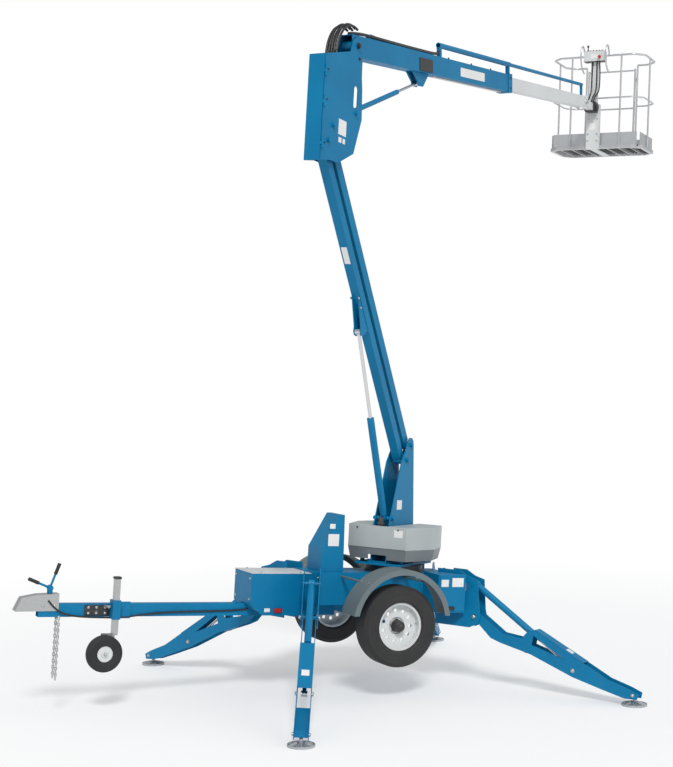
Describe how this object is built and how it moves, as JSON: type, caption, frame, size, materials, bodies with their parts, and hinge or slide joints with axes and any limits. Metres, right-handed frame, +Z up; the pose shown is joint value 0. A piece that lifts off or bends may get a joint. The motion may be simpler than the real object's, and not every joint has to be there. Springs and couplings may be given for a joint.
{
  "type": "trailer-mounted boom lift",
  "caption": "Towable aerial work platform: trailer with splayed outriggers, a slewing turntable, folding lower arms, a telescopic upper boom and a railed basket.",
  "frame": {"origin": "centre of the bounding box in plan, on the ground under the feet", "axes": "+X to the trailer's rear, +Y to its right-hand side, +Z up"},
  "size_m": [8.4352, 5.6258, 6.532],
  "materials": {
    "blue_paint": "gloss mid-blue paint",
    "zinc": "bright zinc",
    "silver_paint": "light silver paint",
    "grey_cover": "mid grey moulding",
    "dark_plastic": "matt dark grey plastic",
    "black_steel": "satin black paint",
    "rod_chrome": "polished hard chrome",
    "galvanised": "galvanised",
    "alloy": "mill aluminium",
    "tyre": "black rubber"
  },
  "bodies": {
    "chassis": {"chassis_frame": "blue_paint", "front_box": "blue_paint", "tongue": "blue_paint", "coupler": "zinc", "coupler_handle": "black_steel", "boom_rest": "blue_paint", "axle": "blue_paint", "fenders": "dark_plastic", "batteries": "dark_plastic", "slew_bearing": "black_steel", "outrigger_brackets": "blue_paint", "cabinets": "blue_paint", "safety_chains": "zinc"},
    "jack": {"jack_tube": "zinc"},
    "jockey_castor": {"jockey_fork": "black_steel"},
    "jockey_wheel": {"jockey_rim": "silver_paint", "jockey_tyre": "tyre"},
    "wheel_left": {"rim_left": "silver_paint", "tyre_left": "tyre"},
    "wheel_right": {"rim_right": "silver_paint", "tyre_right": "tyre"},
    "turntable": {"turntable_deck": "blue_paint", "riser": "blue_paint", "turntable_cover": "grey_cover"},
    "lower_arm": {"lower_arm": "blue_paint"},
    "link_arm": {"link_arm": "blue_paint"},
    "lift_barrel": {"lift_barrel": "black_steel"},
    "lift_rod": {"lift_rod": "rod_chrome"},
    "elbow": {"elbow_frame": "blue_paint"},
    "elbow_door": {"elbow_door": "blue_paint"},
    "boom": {"boom_tube": "blue_paint", "hose_carrier": "dark_plastic"},
    "boom_barrel": {"boom_barrel": "black_steel"},
    "boom_rod": {"boom_rod": "rod_chrome"},
    "extension": {"extension_tube": "blue_paint", "hose_guide": "blue_paint"},
    "platform": {"platform_mount": "silver_paint", "platform_floor": "alloy", "platform_rails": "alloy", "toe_boards": "alloy", "control_box": "silver_paint"},
    "gate": {"platform_gate": "alloy"},
    "outrigger_front_left": {"leg_front_left": "blue_paint", "foot_front_left": "galvanised"},
    "leg_barrel_front_left": {"leg_barrel_front_left": "black_steel"},
    "leg_rod_front_left": {"leg_rod_front_left": "rod_chrome"},
    "outrigger_front_right": {"leg_front_right": "blue_paint", "foot_front_right": "galvanised"},
    "leg_barrel_front_right": {"leg_barrel_front_right": "black_steel"},
    "leg_rod_front_right": {"leg_rod_front_right": "rod_chrome"},
    "outrigger_rear_left": {"leg_rear_left": "blue_paint", "foot_rear_left": "galvanised"},
    "leg_barrel_rear_left": {"leg_barrel_rear_left": "black_steel"},
    "leg_rod_rear_left": {"leg_rod_rear_left": "rod_chrome"},
    "outrigger_rear_right": {"leg_rear_right": "blue_paint", "foot_rear_right": "galvanised"},
    "leg_barrel_rear_right": {"leg_barrel_rear_right": "black_steel"},
    "leg_rod_rear_right": {"leg_rod_rear_right": "rod_chrome"}
  },
  "joints": [
    {"name": "wheel_spin_left", "type": "hinge", "parent": "chassis", "child": "wheel_left", "pos_m": [-1.24086, -1.67712, 0.608], "axis": [0, 1, 0], "continuous": true},
    {"name": "wheel_spin_right", "type": "hinge", "parent": "chassis", "child": "wheel_right", "pos_m": [-1.24086, -0.42712, 0.608], "axis": [0, 1, 0], "continuous": true},
    {"name": "jack_slide", "type": "slide", "parent": "chassis", "child": "jack", "axis": [0.0617, 0, 0.9981], "range_m": [-0.14, 0.02]},
    {"name": "jockey_swivel", "type": "hinge", "parent": "jack", "child": "jockey_castor", "pos_m": [-3.45493, -1.15012, 0.62674], "axis": [0.0617, 0, 0.9981], "range_deg": [-60, 60]},
    {"name": "jockey_spin", "type": "hinge", "parent": "jockey_castor", "child": "jockey_wheel", "pos_m": [-3.53755, -1.15012, 0.47355], "axis": [0, 1, 0], "continuous": true},
    {"name": "slew", "type": "hinge", "parent": "chassis", "child": "turntable", "pos_m": [-0.9332, -1.05212, 0.98172], "axis": [0.0617, 0, 0.9981], "range_deg": [-216.7, 142.3]},
    {"name": "lower_arm_lift", "type": "hinge", "parent": "turntable", "child": "lower_arm", "pos_m": [-0.88121, -1.05696, 1.92531], "axis": [-0.6034, 0.7965, 0.0373], "range_deg": [-64, 9]},
    {"name": "link_arm_swing", "type": "hinge", "parent": "turntable", "child": "link_arm", "pos_m": [-0.81925, -1.01584, 2.04972], "axis": [-0.6034, 0.7965, 0.0373], "range_deg": [-64, 9]},
    {"name": "elbow_level", "type": "hinge", "parent": "lower_arm", "child": "elbow", "pos_m": [-2.13324, -2.12308, 4.43445], "axis": [-0.6034, 0.7965, 0.0373], "range_deg": [-9.01, 64.01]},
    {"name": "lift_barrel_swing", "type": "hinge", "parent": "turntable", "child": "lift_barrel", "pos_m": [-1.09885, -1.19904, 1.43882], "axis": [-0.6034, 0.7965, 0.0373], "range_deg": [-57.13, 8.05]},
    {"name": "lift_rod_slide", "type": "slide", "parent": "lift_barrel", "child": "lift_rod", "axis": [-0.2675, -0.2463, 0.9315], "range_m": [-0.56072, 0.07902]},
    {"name": "elbow_door_swing", "type": "hinge", "parent": "elbow", "child": "elbow_door", "pos_m": [-2.16709, -2.24876, 4.43655], "axis": [0.0617, 0, 0.9981], "range_deg": [0, 110]},
    {"name": "boom_lift", "type": "hinge", "parent": "elbow", "child": "boom", "pos_m": [-1.75457, -1.87399, 5.24061], "axis": [-0.6034, 0.7965, 0.0373], "range_deg": [-66.3, 18.7]},
    {"name": "boom_barrel_swing", "type": "hinge", "parent": "elbow", "child": "boom_barrel", "pos_m": [-1.76491, -1.85706, 4.71224], "axis": [-0.6034, 0.7965, 0.0373], "range_deg": [-52.55, 14.84]},
    {"name": "boom_rod_slide", "type": "slide", "parent": "boom_barrel", "child": "boom_rod", "axis": [0.7543, 0.555, 0.3506], "range_m": [-0.12881, 0.45619]},
    {"name": "telescope", "type": "slide", "parent": "boom", "child": "extension", "axis": [0.7952, 0.5976, 0.1024], "range_m": [-2.1, 0]},
    {"name": "platform_level", "type": "hinge", "parent": "extension", "child": "platform", "pos_m": [2.99279, 1.69394, 5.85168], "axis": [-0.6034, 0.7965, 0.0373], "range_deg": [-18.71, 66.31]},
    {"name": "gate_swing", "type": "hinge", "parent": "platform", "child": "gate", "pos_m": [4.09597, 2.16866, 5.8405], "axis": [0.0228, -0.0295, 0.9993], "range_deg": [0, 80]},
    {"name": "leg_fold_front_left", "type": "hinge", "parent": "chassis", "child": "outrigger_front_left", "pos_m": [-1.93382, -1.50212, 0.69495], "axis": [-0.8999, 0.4325, 0.0557], "range_deg": [0, 106.11]},
    {"name": "leg_barrel_swing_front_left", "type": "hinge", "parent": "chassis", "child": "leg_barrel_front_left", "pos_m": [-1.90592, -1.47868, 0.96374], "axis": [-0.8999, 0.4325, 0.0557], "range_deg": [-0.05, 104.92]},
    {"name": "leg_rod_slide_front_left", "type": "slide", "parent": "leg_barrel_front_left", "child": "leg_rod_front_left", "axis": [-0.3725, -0.696, -0.6139], "range_m": [-0.42576, 0.0002]},
    {"name": "leg_fold_front_right", "type": "hinge", "parent": "chassis", "child": "outrigger_front_right", "pos_m": [-1.93382, -0.60212, 0.69495], "axis": [0.8999, 0.4325, -0.0557], "range_deg": [0, 106.11]},
    {"name": "leg_barrel_swing_front_right", "type": "hinge", "parent": "chassis", "child": "leg_barrel_front_right", "pos_m": [-1.90592, -0.62556, 0.96374], "axis": [0.8999, 0.4325, -0.0557], "range_deg": [-0.05, 104.92]},
    {"name": "leg_rod_slide_front_right", "type": "slide", "parent": "leg_barrel_front_right", "child": "leg_rod_front_right", "axis": [-0.3725, 0.696, -0.6139], "range_m": [-0.42576, 0.0002]},
    {"name": "leg_fold_rear_left", "type": "hinge", "parent": "chassis", "child": "outrigger_rear_left", "pos_m": [-0.35883, -1.50212, 0.59752], "axis": [-0.8313, -0.5534, 0.0514], "range_deg": [0, 98.55]},
    {"name": "leg_barrel_swing_rear_left", "type": "hinge", "parent": "chassis", "child": "leg_barrel_rear_left", "pos_m": [-0.35652, -1.48046, 0.86789], "axis": [-0.8313, -0.5534, 0.0514], "range_deg": [-0.05, 99.25]},
    {"name": "leg_rod_slide_rear_left", "type": "slide", "parent": "leg_barrel_rear_left", "child": "leg_rod_rear_left", "axis": [0.4288, -0.6975, -0.5741], "range_m": [-0.40355, 0.0002]},
    {"name": "leg_fold_rear_right", "type": "hinge", "parent": "chassis", "child": "outrigger_rear_right", "pos_m": [-0.35883, -0.60212, 0.59752], "axis": [0.8313, -0.5534, -0.0514], "range_deg": [0, 98.55]},
    {"name": "leg_barrel_swing_rear_right", "type": "hinge", "parent": "chassis", "child": "leg_barrel_rear_right", "pos_m": [-0.35652, -0.62378, 0.86789], "axis": [0.8313, -0.5534, -0.0514], "range_deg": [-0.05, 99.25]},
    {"name": "leg_rod_slide_rear_right", "type": "slide", "parent": "leg_barrel_rear_right", "child": "leg_rod_rear_right", "axis": [0.4288, 0.6975, -0.5741], "range_m": [-0.40355, 0.0002]}
  ],
  "couplings": [
    {"joint": "link_arm_swing", "follows": "lower_arm_lift", "ratio": 1},
    {"joint": "elbow_level", "follows": "lower_arm_lift", "ratio": -1},
    {"joint": "lift_barrel_swing", "follows": "lower_arm_lift", "ratio": 0.89233},
    {"joint": "lift_rod_slide", "follows": "lower_arm_lift", "m_per_rad": 0.50181},
    {"joint": "boom_barrel_swing", "follows": "boom_lift", "ratio": 0.79223},
    {"joint": "boom_rod_slide", "follows": "boom_lift", "m_per_rad": -0.39406},
    {"joint": "platform_level", "follows": "boom_lift", "ratio": -1},
    {"joint": "leg_barrel_swing_front_left", "follows": "leg_fold_front_left", "ratio": 0.98833},
    {"joint": "leg_rod_slide_front_left", "follows": "leg_fold_front_left", "m_per_rad": -0.22979},
    {"joint": "leg_barrel_swing_front_right", "follows": "leg_fold_front_right", "ratio": 0.98833},
    {"joint": "leg_rod_slide_front_right", "follows": "leg_fold_front_right", "m_per_rad": -0.22979},
    {"joint": "leg_barrel_swing_rear_left", "follows": "leg_fold_rear_left", "ratio": 1.0066},
    {"joint": "leg_rod_slide_rear_left", "follows": "leg_fold_rear_left", "m_per_rad": -0.23449},
    {"joint": "leg_barrel_swing_rear_right", "follows": "leg_fold_rear_right", "ratio": 1.0066},
    {"joint": "leg_rod_slide_rear_right", "follows": "leg_fold_rear_right", "m_per_rad": -0.23449}
  ]
}
